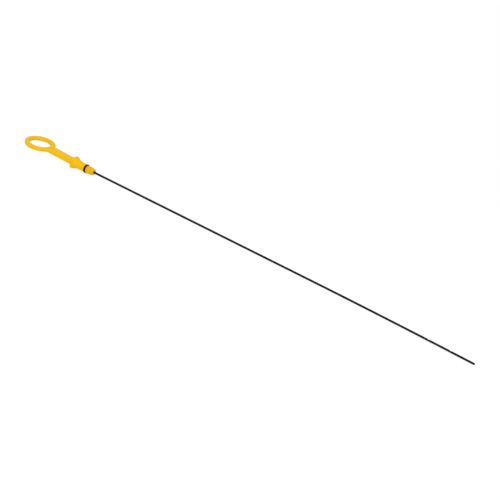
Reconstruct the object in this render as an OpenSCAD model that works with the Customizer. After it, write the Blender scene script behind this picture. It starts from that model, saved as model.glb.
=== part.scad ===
// Engine oil dipstick: a moulded pull handle, its sealing ring and a long measuring wire.
// All sizes are in millimetres. The plug axis is X and the tip of the wire points to +X.
// X = 0 is the middle of the plain land on the plug's nose, which guides it in the tube.
// The pull ring lies flat, with its two faces up (+Z) and down (-Z).

/* [Pull ring] */

// Outside diameter of the finger ring
ring_d = 34.8; // [32:0.4:44]
// Width of the ring's band, seen from above
ring_band = 5.4; // [4.4:0.2:7]
// Thickness of the ring between its two faces
ring_thick = 4.2; // [3.4:0.2:6]
// Rounding of the ring's four edges
ring_edge = 1.4; // [0.6:0.1:1.6]
// Distance from the middle of the stop collar to the middle of the ring
ring_reach = 51.4; // [44:0.4:62]
// Angle by which everything behind the seal leans up from the plug axis
lean = 1.7; // [0:0.1:3]

/* [Shank] */

// Width of the shank where it leaves the ring
shank_wide = 11.4; // [8:0.2:12]
// Width of the shank where it enters the collar
shank_narrow = 9.2; // [7:0.2:10]
// Thickness of the shank just outside the ring
shank_step = 4.8; // [4.2:0.1:5]
// Thickness of the shank where it enters the collar
shank_thick = 5.2; // [5:0.1:7]
// Rounding of the shank's long edges
shank_edge = 1; // [0.5:0.1:1.6]
// Radius of the two fillets between the shank and the ring
fillet = 4; // [1:0.25:5]

/* [Stop collar] */

// Distance across the flats of the collar
collar_flats = 12; // [10.5:0.5:14]
// Diameter of the circle that rounds off the collar's four corners
collar_corners = 15; // [14:0.2:18]
// Length of the collar's full corners along the axis
collar_length = 2.4; // [1.5:0.1:5]
// Length of the sloped flank from the corners down to the plug
collar_slope = 4.8; // [2:0.2:6]
// Distance from the land's middle back to the collar's seat
collar_back = 15.2; // [12:0.2:20]

/* [Plug] */

// Diameter of the plug where it meets the collar
plug_d = 9.9; // [9.2:0.1:10.4]
// Diameter of the plug just behind the seal, and of the land in front of it
land_d = 8.8; // [8:0.1:9]
// Length of the plain land
land_length = 2.8; // [2.6:0.2:5]
// Length of the rounded nose in front of the land
nose_length = 7; // [4:0.2:8]
// Diameter of the flat end of the nose
nose_end_d = 6.2; // [4:0.2:6.4]

/* [Seal] */

// Thickness of the sealing ring's cord
seal_cord = 2.5; // [1.6:0.1:2.6]
// Outside diameter of the sealing ring
seal_d = 10.1; // [9.2:0.1:10.4]
// Room that the groove leaves beside the cord
seal_room = 0.5; // [0.2:0.1:0.8]

/* [Wire] */

// Diameter of the wire
wire_d = 2.4; // [1.8:0.1:2.6]
// Length of the wire that stands out of the nose
wire_out = 531.6; // [420:0.2:640]
// Length of the wire inside the handle
wire_in = 25; // [20:0.5:27]
// Length of the end stretch that has taken a gentle downward set
set_length = 240; // [120:5:380]
// How far that set carries the tip below the plug axis
tip_drop = 2.2; // [0.5:0.1:4]

/* [Wire anchor] */

// Width of the flattened paddle that locks the wire in the handle
paddle_wide = 3.8; // [3:0.1:4.2]
// Thickness of the paddle
paddle_thick = 1.2; // [0.8:0.1:1.6]
// Length of the paddle
paddle_length = 6; // [4:0.5:8]
// Round wire left behind the paddle
paddle_rest = 3; // [1:0.5:4]

/* [Level marks] */

// Distance from the tip to the low level mark
low_mark = 18; // [10:1:30]
// Distance between the low and the full level mark
mark_gap = 24; // [12:3:30]
// Depth of the two level marks
mark_depth = 0.2; // [0.1:0.05:0.35]
// Width of the two level marks
mark_width = 1; // [0.8:0.1:1.6]
// Number of fine rings rolled between the marks
fine_rings = 7; // [3:1:8]

/* [Hidden] */
$fn = 64;
ring_mean = (ring_d - ring_band) / 2;
groove_wide = seal_cord + seal_room;
groove_d = seal_d - 2 * seal_cord;
nose_base = land_length / 2;
nose_end = nose_base + nose_length;
seal_x = -land_length / 2 - groove_wide / 2;
collar_seat = -collar_back;
collar_rear = collar_seat - collar_slope - collar_length;
collar_mid = collar_seat - collar_slope - collar_length / 2;
collar_break = 0.5;
ring_mid = collar_mid - ring_reach;
fillet_y = shank_wide / 2 + fillet;
fillet_x = sqrt(pow(ring_d / 2 + fillet, 2) - pow(fillet_y, 2));
fillet_turn = atan2(fillet_x, fillet_y);
fillet_inset = 0.5;
step_run = 3;
skin = 0.05;
slice = 0.02;
spare = 1;
core_d = groove_d + spare;
set_start = nose_end + wire_out - set_length;
set_radius = pow(set_length, 2) / (2 * tip_drop);
set_turn = set_length / set_radius * 180 / PI;
wire_back = nose_end - wire_in;
nose_arc = (pow(nose_length, 2) + pow((land_d - nose_end_d) / 2, 2)) / (land_d - nose_end_d);

// A rectangle with rounded corners, centred, as wide as w and as high as h
module rounded_bar(w, h, r) {
    square([w - 2 * r, h], center = true);
    square([w, h - 2 * r], center = true);
    for (x = [-1, 1], y = [-1, 1])
        translate([x * (w / 2 - r), y * (h / 2 - r)]) circle(r = r, $fn = 24);
}

// A thin slice of the shank, standing across it
module shank_slice(w, h) {
    rotate([90, 0, 90])
        linear_extrude(height = slice, center = true)
            rounded_bar(w, h, shank_edge);
}

// The finger ring: one band with rounded edges, swept once around
module finger_ring() {
    rotate_extrude($fn = 72)
        translate([ring_mean, 0])
            rounded_bar(ring_band, ring_thick, ring_edge);
}

// One fillet: it carries the ring's rounded edge over into the side of the shank
module shank_fillet() {
    translate([fillet_x, fillet_y, 0])
        rotate([0, 0, 180 + 90 - fillet_turn])
            rotate_extrude(angle = fillet_turn)
                translate([fillet + ring_band / 2 - fillet_inset, 0])
                    rounded_bar(ring_band - 2 * fillet_inset, ring_thick - skin, ring_edge);
}

// The shank, narrowing and thickening from the flat ring to the round plug
module shank() {
    hull() {
        translate([ring_mean, 0, 0]) shank_slice(shank_wide, ring_thick - 2 * skin);
        translate([ring_d / 2 + step_run, 0, 0]) shank_slice(shank_wide - 2 * skin, shank_step);
        translate([ring_reach, 0, 0]) shank_slice(shank_narrow, shank_thick);
    }
}

// The pull: ring, fillets and shank behind the collar
module pull() {
    translate([ring_mid, 0, 0]) {
        finger_ring();
        shank();
        for (side = [0, 1]) mirror([0, side, 0]) shank_fillet();
    }
}

// The stop collar: a square block with turned corners and a turned flank towards the tip
module stop_collar() {
    intersection() {
        rotate([0, 90, 0]) rotate_extrude()
            polygon([[0, collar_rear], [collar_corners / 2 - collar_break, collar_rear],
                [collar_corners / 2, collar_rear + collar_break],
                [collar_corners / 2, collar_rear + collar_length],
                [plug_d / 2, collar_seat], [0, collar_seat]]);
        translate([collar_mid, 0, 0])
            cube([2 * (collar_slope + collar_length), collar_flats, collar_flats], center = true);
    }
}

// The plug behind the seal, narrowing from the collar to the groove
module plug_cone() {
    rotate([0, 90, 0]) rotate_extrude()
        polygon([[0, collar_mid], [plug_d / 2, collar_mid], [plug_d / 2, collar_seat],
            [land_d / 2, seal_x], [0, seal_x]]);
}

// The outline of the plain land and of the nose, which is rounded down to a flat end
module nose_outline() {
    translate([0, seal_x - groove_wide]) square([core_d / 2, groove_wide]);
    translate([0, seal_x]) square([land_d / 2, nose_base - seal_x]);
    intersection() {
        translate([land_d / 2 - nose_arc, nose_base]) circle(r = nose_arc, $fn = 96);
        translate([0, nose_base]) square([land_d, nose_length]);
    }
}

// Everything behind the seal leans a little, as one piece, about the middle of the groove
module leaning() {
    translate([seal_x, 0, 0]) rotate([0, lean, 0]) translate([-seal_x, 0, 0]) children();
}

// The ring of plastic that the seal's groove takes away
module seal_groove() {
    translate([seal_x, 0, 0]) rotate([0, 90, 0]) difference() {
        cylinder(d = land_d + 2 * spare, h = groove_wide, center = true);
        cylinder(d = groove_d, h = groove_wide + spare, center = true);
    }
}

// The straight wire inside the handle, with its flattened paddle
module wire_root() {
    translate([wire_back, 0, 0]) rotate([0, 90, 0])
        cylinder(d = wire_d, h = wire_in, $fn = 32);
    translate([wire_back + paddle_rest + paddle_length / 2, 0, 0])
        cube([paddle_length, paddle_wide, paddle_thick], center = true);
}

// The wire outside: straight from the nose, then one long gentle arc to the cut end
module wire_run() {
    translate([nose_end, 0, 0]) rotate([0, 90, 0])
        cylinder(d = wire_d, h = set_start - nose_end, $fn = 32);
    translate([set_start, 0, -set_radius]) rotate([0, -90, -90])
        rotate_extrude(angle = set_turn, $fn = 2880)
            translate([set_radius, 0]) circle(d = wire_d, $fn = 32);
}

// A ring cut into the wire at this distance from the tip
module wire_cut(from_tip, wide, deep) {
    turn = set_turn * (1 - from_tip / set_length);
    translate([set_start + set_radius * sin(turn), 0, set_radius * (cos(turn) - 1)])
        rotate([0, 90 + turn, 0]) difference() {
            cylinder(d = wire_d + spare, h = wide, center = true, $fn = 32);
            cylinder(d = wire_d - 2 * deep, h = wide + spare, center = true, $fn = 32);
        }
}

module handle() {
    color([0.95, 0.75, 0.08]) difference() {
        union() {
            leaning() {
                pull();
                stop_collar();
                plug_cone();
            }
            rotate([0, 90, 0]) rotate_extrude() nose_outline();
        }
        seal_groove();
        wire_root();
    }
}

module seal() {
    color([0.09, 0.05, 0.04])
        translate([seal_x, 0, 0]) rotate([0, 90, 0])
            rotate_extrude() translate([(seal_d - seal_cord) / 2, 0]) circle(d = seal_cord, $fn = 32);
}

module rod() {
    color([0.12, 0.12, 0.12]) difference() {
        union() {
            wire_root();
            wire_run();
        }
        for (gap = [0, mark_gap]) wire_cut(low_mark + gap, mark_width, mark_depth);
        for (i = [1:fine_rings])
            wire_cut(low_mark + i * mark_gap / (fine_rings + 1), mark_width / 2, mark_depth / 2);
    }
}

handle();
seal();
rod();
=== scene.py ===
# An engine oil dipstick, dressed piece by piece in the order in which it is put together.
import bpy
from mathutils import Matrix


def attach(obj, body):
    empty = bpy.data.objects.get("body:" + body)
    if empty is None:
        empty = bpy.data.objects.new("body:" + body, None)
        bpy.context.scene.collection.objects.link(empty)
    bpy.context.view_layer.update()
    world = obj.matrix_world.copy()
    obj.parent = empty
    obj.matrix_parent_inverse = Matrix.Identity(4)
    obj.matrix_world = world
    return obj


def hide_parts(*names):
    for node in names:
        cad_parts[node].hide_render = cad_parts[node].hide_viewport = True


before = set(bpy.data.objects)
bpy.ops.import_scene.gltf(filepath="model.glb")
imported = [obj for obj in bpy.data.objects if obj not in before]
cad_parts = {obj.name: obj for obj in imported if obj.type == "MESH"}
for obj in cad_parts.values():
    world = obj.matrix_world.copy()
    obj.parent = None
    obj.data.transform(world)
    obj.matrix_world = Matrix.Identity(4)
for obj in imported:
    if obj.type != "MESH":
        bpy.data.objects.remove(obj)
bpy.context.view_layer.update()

import math

import bmesh
import bpy
from mathutils import Matrix, Quaternion, Vector

# Measuring wire. One drawn steel wire with a black finish, cut square at its tip. Its root is
# flattened and sits inside the handle, which is moulded around it. Near the tip, two nicks in the
# upper side are the level marks, with fine rolled rings between them. The end has a gentle set.

MM = 0.001
wire_radius, wire_sides = 1.2 * MM, 24
wire_root, wire_tip, tip_break = -16.6 * MM, 539.98 * MM, 0.15 * MM
paddle_start, paddle_end, paddle_shoulder = -13.6 * MM, -7.6 * MM, 0.4 * MM
paddle_wide, paddle_thick = 3.8 * MM, 1.2 * MM
set_length, tip_drop = 240 * MM, 2.2 * MM
set_start = wire_tip - set_length
set_radius = set_length ** 2 / (2 * tip_drop)
straight_steps, set_steps = 10, 20
low_mark, mark_gap, mark_wide, mark_deep = 32 * MM, 30 * MM, 2.8 * MM, 0.22 * MM
fine_rings, ring_wide, ring_deep = 7, 0.5 * MM, 0.1 * MM
notch_rim = 0.08 * MM
weld = 0.001 * MM
steel_black, steel_worn = (0.003, 0.003, 0.003), (0.007, 0.007, 0.007)
drawn_lines, steel_patches = (60, 4000, 4000), 70


def shaded(bm, crisp):
    """Shades a mesh smooth, but for the edges that turn by this many degrees or more."""
    for face in bm.faces:
        face.smooth = True
    for edge in bm.edges:
        edge.smooth = edge.calc_face_angle(0) < math.radians(crisp)


def new_piece(name, fill):
    """Makes an object at the origin from the bmesh that fill shapes, with its faces outwards."""
    bm = bmesh.new()
    fill(bm)
    bmesh.ops.remove_doubles(bm, verts=bm.verts, dist=weld)
    bmesh.ops.recalc_face_normals(bm, faces=bm.faces)
    shaded(bm, 40)
    mesh = bpy.data.meshes.new(name)
    bm.to_mesh(mesh)
    bm.free()
    piece = bpy.data.objects.new(name, mesh)
    bpy.context.scene.collection.objects.link(piece)
    return piece


def carried_on(bm, edges):
    """Extrudes a loop of edges in place and gives the new loop's points and edges."""
    made = bmesh.ops.extrude_edge_only(bm, edges=edges)["geom"]
    verts = [v for v in made if isinstance(v, bmesh.types.BMVert)]
    edges = [e for e in made
             if isinstance(e, bmesh.types.BMEdge) and all(v in verts for v in e.verts)]
    return verts, edges


def round_at(stop, thinner=0, lowered=0):
    """A stop along the wire: half its width, half its height and how far its middle is lowered."""
    return stop, wire_radius - thinner, wire_radius - thinner, lowered


def notch(middle, wide, deep, lowered=0):
    """The stops of a notch, cut all round or, if it is lowered by its depth too, from above."""
    half = wide / 2
    return [round_at(middle - half - notch_rim), round_at(middle - half),
            round_at(middle - half + deep, deep, lowered),
            round_at(middle + half - deep, deep, lowered),
            round_at(middle + half), round_at(middle + half + notch_rim)]


def wire_stops():
    """Every stop from the root to the tip, with the paddle and the marks."""
    high = wire_tip - low_mark - mark_gap
    paddle = (paddle_wide / 2, paddle_thick / 2, 0)
    stops = [round_at(paddle_start - paddle_shoulder), (paddle_start, *paddle),
             (paddle_end, *paddle), round_at(paddle_end + paddle_shoulder), round_at(0)]
    stops += [round_at(set_start * i / straight_steps) for i in range(1, straight_steps + 1)]
    bend = [set_start + set_length * i / set_steps for i in range(1, set_steps)]
    stops += [round_at(stop) for stop in bend if stop < high - mark_wide]
    stops += notch(high, mark_wide, mark_deep, mark_deep)
    for i in range(1, fine_rings + 1):
        stops += notch(high + mark_gap * i / (fine_rings + 1), ring_wide, ring_deep)
    stops += notch(wire_tip - low_mark, mark_wide, mark_deep, mark_deep)
    return stops + [round_at(wire_tip - tip_break), round_at(wire_tip, tip_break)]


def fill_wire(bm):
    """Draws the wire out straight, stop by stop, and then bends its last stretch to its set."""
    stand = Matrix.Translation((wire_root, 0, 0)) @ Matrix.Rotation(math.pi / 2, 4, "Y")
    bmesh.ops.create_circle(bm, segments=wire_sides, radius=wire_radius, cap_ends=True,
                            matrix=stand)
    edges, loops = bm.edges[:], []
    reached, wide, tall, low = wire_root, wire_radius, wire_radius, 0
    for stop, new_wide, new_tall, new_low in wire_stops():
        verts, edges = carried_on(bm, edges)
        bmesh.ops.translate(bm, verts=verts, vec=(stop - reached, 0, low - new_low))
        bmesh.ops.scale(bm, verts=verts, vec=(1, new_wide / wide, new_tall / tall),
                        space=Matrix.Translation((-stop, 0, new_low)))
        reached, wide, tall, low = stop, new_wide, new_tall, new_low
        loops.append((stop, verts))
    bmesh.ops.holes_fill(bm, edges=edges, sides=0)
    for stop, verts in loops:
        turn = max(stop - set_start, 0) / set_radius
        bmesh.ops.rotate(bm, verts=verts, cent=(stop, 0, 0), matrix=Matrix.Rotation(turn, 3, "Y"))
        along = min(stop, set_start) + set_radius * math.sin(turn) - stop
        bmesh.ops.translate(bm, verts=verts, vec=(along, 0, set_radius * (math.cos(turn) - 1)))


def new_material(name):
    """A new material, its node tree and its shader."""
    material = bpy.data.materials.new(name)
    material.use_nodes = True
    return material, material.node_tree, material.node_tree.nodes["Principled BSDF"]


def node(tree, kind, values=(), **links):
    """Adds a node, sets its properties and constant sockets, and links the named sockets."""
    made = tree.nodes.new(kind)
    for key, value in dict(values).items():
        if key in made.bl_rna.properties:
            setattr(made, key, value)
        else:
            made.inputs[key].default_value = value
    for socket, source in links.items():
        tree.links.new(source, made.inputs[socket])
    return made


def noise(tree, place, scale):
    """A soft noise, with this many waves in a metre."""
    return node(tree, "ShaderNodeTexNoise", {"Scale": scale, "Detail": 3},
                Vector=place).outputs["Fac"]


def spread(tree, source, low, high, first=0.3, last=0.7):
    """Maps a pattern from between first and last, the middle of a noise, onto low to high."""
    ends = {"From Min": first, "From Max": last, "To Min": low, "To Max": high}
    return node(tree, "ShaderNodeMapRange", ends, Value=source).outputs["Result"]


def shades(tree, source, dark, light):
    """Blends two colours by a pattern. Each may itself be such a blend."""
    made = node(tree, "ShaderNodeMix", {"data_type": "RGBA"})
    for socket, colour in ((made.inputs[6], dark), (made.inputs[7], light)):
        if isinstance(colour, tuple):
            socket.default_value = (*colour, 1)
        else:
            tree.links.new(colour, socket)
    tree.links.new(source, made.inputs[0])
    return made.outputs[2]


def relief(tree, height, strength, depth, under=None):
    """Turns a height pattern into a bump, on top of another bump if there is one."""
    made = node(tree, "ShaderNodeBump", {"Strength": strength, "Distance": depth}, Height=height)
    if under:
        tree.links.new(under, made.inputs["Normal"])
    return made.outputs["Normal"]


def black_steel():
    """A dull black finish with faint lines along the wire, as drawing leaves them."""
    material, tree, shader = new_material("black_steel_wire")
    shader.inputs["Specular IOR Level"].default_value = 0.08
    place = node(tree, "ShaderNodeTexCoord").outputs["Object"]
    drawn = node(tree, "ShaderNodeMapping", {"Scale": drawn_lines}, Vector=place)
    lines = noise(tree, drawn.outputs["Vector"], 1)
    patches = spread(tree, noise(tree, place, steel_patches), 0, 1)
    tree.links.new(shades(tree, patches, steel_black, steel_worn), shader.inputs["Base Color"])
    tree.links.new(spread(tree, lines, 0.32, 0.5), shader.inputs["Roughness"])
    tree.links.new(relief(tree, lines, 0.3, 0.02 * MM), shader.inputs["Normal"])
    return material


wire = new_piece("measuring_wire", fill_wire)
wire.data.materials.append(black_steel())
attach(wire, "root")
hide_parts("rod")

# Pull handle. One moulding of tough yellow plastic, made around the root of the wire: a finger
# ring, a flat shank, a square stop collar with turned corners, a tapering plug and a rounded nose.
# All behind the seal leans up a little. The mould parts along the middle of the ring.

seal_at, groove_half, groove_radius = -2.9 * MM, 1.5 * MM, 2.55 * MM
groove_rear, groove_front = seal_at - groove_half, seal_at + groove_half
lean = math.radians(1.7)
leaning = (Matrix.Translation((seal_at, 0, 0)) @ Matrix.Rotation(lean, 4, "Y")
           @ Matrix.Translation((-seal_at, 0, 0)))
ring_radius, ring_band, ring_thick, ring_edge = 17.4 * MM, 5.4 * MM, 4.2 * MM, 1.4 * MM
ring_middle, ring_reach, ring_steps = ring_radius - ring_band / 2, 51.4 * MM, 96
collar_rear, collar_front, collar_seat = -22.4 * MM, -20.0 * MM, -15.2 * MM
corner_radius, collar_break, collar_flat = 7.5 * MM, 0.5 * MM, 6 * MM
slope_steps, slope_bow = 8, 1.15
collar_middle = (collar_rear + collar_front) / 2
pull = Matrix.Translation((collar_middle - ring_reach, 0, 0))
shank_edge = 1 * MM
# Each stop of the shank: its distance from the ring's middle, its width and its thickness
shank_stops = [(ring_middle, 11.4 * MM, 4.1 * MM), (20.4 * MM, 11.3 * MM, 4.8 * MM),
               (ring_reach, 9.2 * MM, 5.2 * MM)]
fillet, fillet_inset, fillet_skin, fillet_steps = 4 * MM, 0.5 * MM, 0.06 * MM, 8
fillet_y = shank_stops[0][1] / 2 + fillet
fillet_x = math.sqrt((ring_radius + fillet) ** 2 - fillet_y ** 2)
plug_radius, land_radius, land_break, core_reach = 4.95 * MM, 4.4 * MM, 0.15 * MM, 1 * MM
nose_base, nose_end, nose_end_radius, nose_steps = 1.4 * MM, 8.4 * MM, 3.1 * MM, 12
# The rounded rim of the nose's flat end, and the two rims of the funnel around the wire
nose_rim = ((-0.12 * MM, -0.02 * MM), (0, -0.2 * MM))
mouth_rims = ((-0.4 * MM, -0.2 * MM), (0.2 * MM, 0.4 * MM))
skin_voxel, skin_rounds = 0.3 * MM, 4
yellow = (0.86, 0.495, 0.002), (0.91, 0.525, 0.004)
# Painted shade for the nose: a darker copy of the yellow
shaded_nose_yellow = (0.74, 0.435, 0.003), (0.785, 0.462, 0.005)
parting_half, parting_fade = 0.04 * MM, 0.16 * MM
# Two ways to stand a flat face up: along X and Z, and straight across X
upright = Matrix.Rotation(math.pi / 2, 4, "X")
crosswise = Matrix(((0, 0, 1, 0), (1, 0, 0, 0), (0, 1, 0, 0), (0, 0, 0, 1)))


def rounded_face(bm, wide, high, rounding, place):
    """A flat face with rounded corners, wide along its own X and high along its own Y."""
    known = set(bm.verts)
    corners = bmesh.ops.create_grid(bm, x_segments=1, y_segments=1, size=0.5)["verts"]
    bmesh.ops.scale(bm, verts=corners, vec=(wide, high, 1))
    bmesh.ops.bevel(bm, geom=corners, affect="VERTICES", offset=rounding, offset_type="OFFSET",
                    segments=6, profile=0.5, material=-1)
    verts = [v for v in bm.verts if v not in known]
    bmesh.ops.transform(bm, verts=verts, matrix=place)
    return verts[0].link_faces[0]


def turned(bm, outline):
    """Turns an outline of (x, radius) stops about the X axis."""
    verts = [bm.verts.new((x, 0, radius)) for x, radius in outline]
    edges = [bm.edges.new(pair) for pair in zip(verts, verts[1:])]
    bmesh.ops.spin(bm, geom=verts + edges, cent=(0, 0, 0), axis=(1, 0, 0), angle=math.tau,
                   steps=64, use_merge=True)


def fill_ring(bm):
    """The finger ring: one band with rounded edges, swept once around."""
    face = rounded_face(bm, ring_band, ring_thick, ring_edge,
                        Matrix.Translation((ring_middle, 0, 0)) @ upright)
    verts, edges = face.verts[:], face.edges[:]
    bmesh.ops.delete(bm, geom=[face], context="FACES_ONLY")
    bmesh.ops.spin(bm, geom=verts + edges, cent=(0, 0, 0), axis=(0, 0, 1), angle=math.tau,
                   steps=ring_steps, use_merge=True)


def fill_fillets(bm):
    """The two hollows that carry the ring's edge over into the sides of the shank."""
    for side in (1, -1):
        centre = Vector((fillet_x, side * fillet_y, 0))
        start = Matrix.Translation(centre) @ Matrix.Rotation(-side * math.pi / 2, 4, "Z")
        reach = Matrix.Translation((fillet + ring_band / 2 - fillet_inset, 0, 0))
        face = rounded_face(bm, ring_band - 2 * fillet_inset, ring_thick - fillet_skin, ring_edge,
                            start @ reach @ upright)
        bmesh.ops.spin(bm, geom=face.verts[:] + face.edges[:] + [face], cent=centre,
                       axis=(0, 0, 1), angle=-side * math.atan2(fillet_x, fillet_y),
                       steps=fillet_steps)


def fill_shank(bm):
    """The shank, narrowing and thickening from the flat ring to the collar."""
    at, wide, high = shank_stops[0]
    face = rounded_face(bm, wide, high, shank_edge, Matrix.Translation((at, 0, 0)) @ crosswise)
    for stop, wider, higher in shank_stops[1:]:
        made = bmesh.ops.extrude_face_region(bm, geom=[face])["geom"]
        verts = [v for v in made if isinstance(v, bmesh.types.BMVert)]
        face = [f for f in made if isinstance(f, bmesh.types.BMFace)][0]
        bmesh.ops.scale(bm, verts=verts, vec=(1, wider / wide, higher / high))
        bmesh.ops.translate(bm, verts=verts, vec=(stop - at, 0, 0))
        at, wide, high = stop, wider, higher


def fill_pull(bm):
    """The ring, its fillets and the shank, about the ring's middle."""
    fill_ring(bm)
    fill_fillets(bm)
    fill_shank(bm)


def fill_collar(bm):
    """A turned blank with a sloping front, cut off square by four flats."""
    slope = [(collar_front + (collar_seat - collar_front) * i / slope_steps,
              plug_radius + (corner_radius - plug_radius) * (1 - i / slope_steps) ** slope_bow)
             for i in range(1, slope_steps + 1)]
    turned(bm, [(collar_rear, 0), (collar_rear, corner_radius - collar_break),
                (collar_rear + collar_break, corner_radius), (collar_front, corner_radius)]
           + slope + [(collar_seat, 0)])
    bmesh.ops.remove_doubles(bm, verts=bm.verts, dist=weld)
    for flat in (Vector((0, 1, 0)), Vector((0, -1, 0)), Vector((0, 0, 1)), Vector((0, 0, -1))):
        bmesh.ops.bisect_plane(bm, geom=bm.verts[:] + bm.edges[:] + bm.faces[:],
                               plane_co=flat * collar_flat, plane_no=flat, clear_outer=True)
        bmesh.ops.holes_fill(bm, edges=[e for e in bm.edges if e.is_boundary], sides=0)


def fill_plug(bm):
    """The plug behind the seal, narrowing from the collar to the groove."""
    turned(bm, [(collar_middle, 0), (collar_middle, plug_radius), (collar_seat, plug_radius),
                (groove_rear, land_radius), (groove_rear, 0)])


def fill_nose(bm):
    """The groove's core, the plain land and the nose, which an arc rounds down to a flat end."""
    length, fall = nose_end - nose_base, land_radius - nose_end_radius
    arc = (length ** 2 + fall ** 2) / (2 * fall)
    curve = []
    for i in range(nose_steps + 1):
        x = length * i / nose_steps
        curve.append((nose_base + x, land_radius - arc + math.sqrt(arc ** 2 - x ** 2)))
    end = curve.pop()[1]
    core_rear = groove_rear - core_reach
    turned(bm, [(core_rear, 0), (core_rear, groove_radius), (groove_front, groove_radius),
                (groove_front, land_radius - land_break), (groove_front + land_break, land_radius)]
           + curve + [(nose_end + x, end + outwards) for x, outwards in nose_rim]
           + [(nose_end, 0)])


def fill_mouth(bm):
    """The small funnel around the wire where it leaves the nose."""
    rims = [(nose_end + x, wire_radius + outwards) for x, outwards in mouth_rims]
    turned(bm, [(rims[0][0], 0), *rims, (rims[1][0], 0)])


def fill_moulding(bm):
    """All that leans: the closed shapes of the ring with its shank, the collar and the plug."""
    for fill, move in ((fill_pull, leaning @ pull), (fill_collar, leaning), (fill_plug, leaning)):
        part = bmesh.new()
        fill(part)
        bmesh.ops.remove_doubles(part, verts=part.verts, dist=weld)
        bmesh.ops.recalc_face_normals(part, faces=part.faces)
        bmesh.ops.transform(part, verts=part.verts, matrix=move)
        mesh = bpy.data.meshes.new("part")
        part.to_mesh(mesh)
        part.free()
        bm.from_mesh(mesh)
        bpy.data.meshes.remove(mesh)


def applied(piece):
    """Makes a piece's modifiers a lasting part of its mesh."""
    bpy.context.view_layer.update()
    seen = piece.evaluated_get(bpy.context.evaluated_depsgraph_get())
    shaped = bpy.data.meshes.new_from_object(seen)
    piece.modifiers.clear()
    piece.data = shaped


def softened(piece):
    """Fuses closed shapes into one skin and softens its edges and corners, as a mould does."""
    skin = piece.modifiers.new("skin", "REMESH")
    skin.mode, skin.voxel_size, skin.use_smooth_shade = "VOXEL", skin_voxel, True
    soften = piece.modifiers.new("soften", "SMOOTH")
    soften.factor, soften.iterations = 0.5, skin_rounds
    applied(piece)


def fitted(piece, other, operation):
    """Joins another closed piece to this one, or cuts it out of this one."""
    fit = piece.modifiers.new("fit", "BOOLEAN")
    fit.operation, fit.solver, fit.object = operation, "EXACT", other
    applied(piece)


def yellow_plastic():
    """Satin plastic with a fine grain and a faint parting line, and painted shade on the nose: a
    darker yellow in front of the seal.
    """
    material, tree, shader = new_material("yellow_moulded_plastic")
    shader.inputs["Specular IOR Level"].default_value = 0.06
    place = node(tree, "ShaderNodeTexCoord").outputs["Object"]
    unlean = {"Rotation": (0, -lean, 0), "Location": (0, 0, -seal_at * math.sin(lean))}
    mould = node(tree, "ShaderNodeMapping", unlean, Vector=place).outputs["Vector"]
    height = node(tree, "ShaderNodeSeparateXYZ", Vector=mould).outputs["Z"]
    away = node(tree, "ShaderNodeMath", {"operation": "ABSOLUTE"}, Value=height).outputs["Value"]
    parting = spread(tree, away, 1, 0, parting_half, parting_fade)
    patches = spread(tree, noise(tree, place, 60), 0, 1)
    # Painted shade: the yellow darkens from the seal to the base of the nose and stays darker over
    # the whole nose
    along = node(tree, "ShaderNodeSeparateXYZ", Vector=place).outputs["X"]
    nose_shade = spread(tree, along, 0, 1, seal_at, nose_base)
    tree.links.new(shades(tree, nose_shade, shades(tree, patches, *yellow),
                          shades(tree, patches, *shaded_nose_yellow)), shader.inputs["Base Color"])
    tree.links.new(spread(tree, noise(tree, place, 220), 0.33, 0.45), shader.inputs["Roughness"])
    grain = relief(tree, noise(tree, place, 2600), 0.5, 0.06 * MM)
    tree.links.new(relief(tree, parting, 0.5, 0.06 * MM, grain), shader.inputs["Normal"])
    return material


handle = new_piece("pull_handle", fill_moulding)
softened(handle)
nose, mouth = new_piece("nose", fill_nose), new_piece("mouth", fill_mouth)
for other, operation in ((nose, "UNION"), (mouth, "DIFFERENCE"), (wire, "DIFFERENCE")):
    fitted(handle, other, operation)
bpy.data.objects.remove(nose)
bpy.data.objects.remove(mouth)
whole = bmesh.new()
whole.from_mesh(handle.data)
shaded(whole, 60)
whole.to_mesh(handle.data)
whole.free()
handle.data.materials.clear()
handle.data.materials.append(yellow_plastic())
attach(handle, "root")
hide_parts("handle")

# Sealing ring. A moulded ring of soft, very dark red-brown rubber with a round section, stretched
# over the nose into its groove. It stands a little proud of the plug, so that it closes the tube.

seal_cord, seal_radius, cord_sides, seal_steps = 1.25 * MM, 5.05 * MM, 24, 72
rubber_dark, rubber_brown = (0.020, 0.004, 0.002), (0.036, 0.007, 0.004)


def fill_seal(bm):
    """A round cord, swept once around the plug's axis."""
    start = Matrix.Translation((seal_at, 0, seal_radius - seal_cord)) @ upright
    bmesh.ops.create_circle(bm, segments=cord_sides, radius=seal_cord, matrix=start)
    bmesh.ops.spin(bm, geom=bm.verts[:] + bm.edges[:], cent=(0, 0, 0), axis=(1, 0, 0),
                   angle=math.tau, steps=seal_steps, use_merge=True)


def dark_rubber():
    """Soft rubber, a little cloudy and very finely pitted."""
    material, tree, shader = new_material("dark_rubber")
    shader.inputs["Specular IOR Level"].default_value = 0.06
    place = node(tree, "ShaderNodeTexCoord").outputs["Object"]
    cloudy = noise(tree, place, 400)
    tree.links.new(shades(tree, spread(tree, cloudy, 0, 1), rubber_dark, rubber_brown),
                   shader.inputs["Base Color"])
    tree.links.new(spread(tree, cloudy, 0.42, 0.58), shader.inputs["Roughness"])
    tree.links.new(relief(tree, noise(tree, place, 3000), 0.3, 0.02 * MM), shader.inputs["Normal"])
    return material


seal = new_piece("sealing_ring", fill_seal)
seal.data.materials.append(dark_rubber())
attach(seal, "root")
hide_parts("seal")

# Studio. A wide white table top, which the stop collar and the tip of the wire rest on, under a
# large soft panel, with a smaller one in front, and one long lens from high on the near side.

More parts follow.
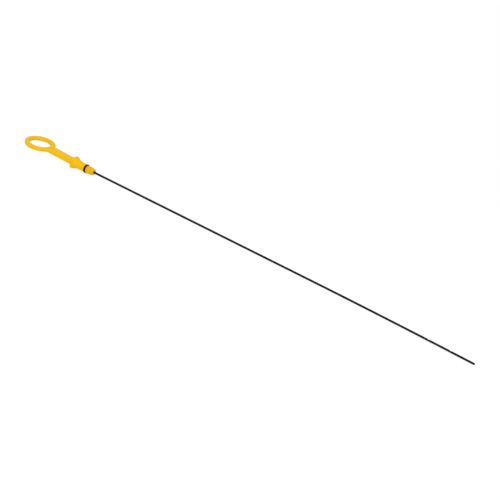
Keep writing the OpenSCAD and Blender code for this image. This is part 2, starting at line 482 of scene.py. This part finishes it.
collar_rest, tip_rest = (-17.35 * MM, -5.575 * MM), (wire_tip, -3.40 * MM)
rest_slope = math.atan2(tip_rest[1] - collar_rest[1], tip_rest[0] - collar_rest[0])
table_reach = 8
table_mesh = bpy.data.meshes.new("table_top")
bm = bmesh.new()
bmesh.ops.create_grid(bm, x_segments=1, y_segments=1, size=table_reach)
bmesh.ops.transform(bm, verts=bm.verts, matrix=Matrix.Rotation(-rest_slope, 4, "Y"))
bmesh.ops.translate(bm, verts=bm.verts, vec=(collar_rest[0], 0, collar_rest[1]))
bm.to_mesh(table_mesh)
bm.free()
table_top = bpy.data.objects.new("table_top", table_mesh)
bpy.context.scene.collection.objects.link(table_top)


def larger(tree, first, second):
    """The larger of two values."""
    made = node(tree, "ShaderNodeMath", {"operation": "MAXIMUM"})
    tree.links.new(first, made.inputs[0])
    tree.links.new(second, made.inputs[1])
    return made.outputs["Value"]


def seen_or_mirrored(tree):
    """1 for what the camera sees straight on, in a reflection or through glass, 0 for light."""
    path = node(tree, "ShaderNodeLightPath")
    seen = larger(tree, path.outputs["Is Camera Ray"], path.outputs["Is Glossy Ray"])
    return larger(tree, seen, path.outputs["Is Transmission Ray"])


def level_of(tree, for_light, for_sight):
    """One strength for the light on the object and another for the white ground that is seen."""
    return node(tree, "ShaderNodeMapRange", {"To Min": for_light, "To Max": for_sight},
                Value=seen_or_mirrored(tree)).outputs["Result"]


white, tree, shader = new_material("white_table")
shader.inputs["Base Color"].default_value = (0.22, 0.22, 0.22, 1)
shader.inputs["Roughness"].default_value = 0.9
shader.inputs["Specular IOR Level"].default_value = 0.1
shader.inputs["Emission Color"].default_value = (1, 1, 1, 1)
tree.links.new(level_of(tree, 0.55, 0.82), shader.inputs["Emission Strength"])
table_top.data.materials.append(white)

world = bpy.data.worlds.new("studio")
world.use_nodes = True
bpy.context.scene.world = world
sky = world.node_tree.nodes["Background"]
sky.inputs["Color"].default_value = (1, 1, 1, 1)
world.node_tree.links.new(level_of(world.node_tree, 0.74, 1), sky.inputs["Strength"])


def soft_panel(name, place, aim, size, power):
    """A rectangular soft light, turned towards what it lights."""
    lamp = bpy.data.lights.new(name, "AREA")
    lamp.shape, lamp.size, lamp.size_y, lamp.energy = "RECTANGLE", size[0], size[1], power
    panel = bpy.data.objects.new(name, lamp)
    panel.location = place
    panel.rotation_mode = "QUATERNION"
    panel.rotation_quaternion = (Vector(aim) - Vector(place)).to_track_quat("-Z", "Y")
    bpy.context.scene.collection.objects.link(panel)


soft_panel("top_panel", (0.1, 0.1, 1.6), (0.1, 0, 0), (1.8, 1.4), 3)
soft_panel("front_panel", (0.7, -1.5, 0.9), (0.1, 0, 0), (1.0, 0.8), 11)

azimuth, elevation, roll = math.radians(37.09), math.radians(21.98), math.radians(11.562)
distance, aim = 5.2, Vector((0.233069, 0, 0.000212))
back = Vector((math.sin(azimuth) * math.cos(elevation),
               -math.cos(azimuth) * math.cos(elevation), math.sin(elevation)))
lens = bpy.data.cameras.new("long_lens")
lens.sensor_width, lens.lens, lens.clip_start, lens.clip_end = 36, 340.78, 0.5, 60
camera = bpy.data.objects.new("camera", lens)
camera.location = back * distance
camera.rotation_mode = "QUATERNION"
camera.rotation_quaternion = ((aim - camera.location).to_track_quat("-Z", "Y")
                              @ Quaternion((0, 0, 1), roll))
bpy.context.scene.collection.objects.link(camera)
bpy.context.scene.camera = camera
bpy.context.scene.view_settings.view_transform = "Standard"
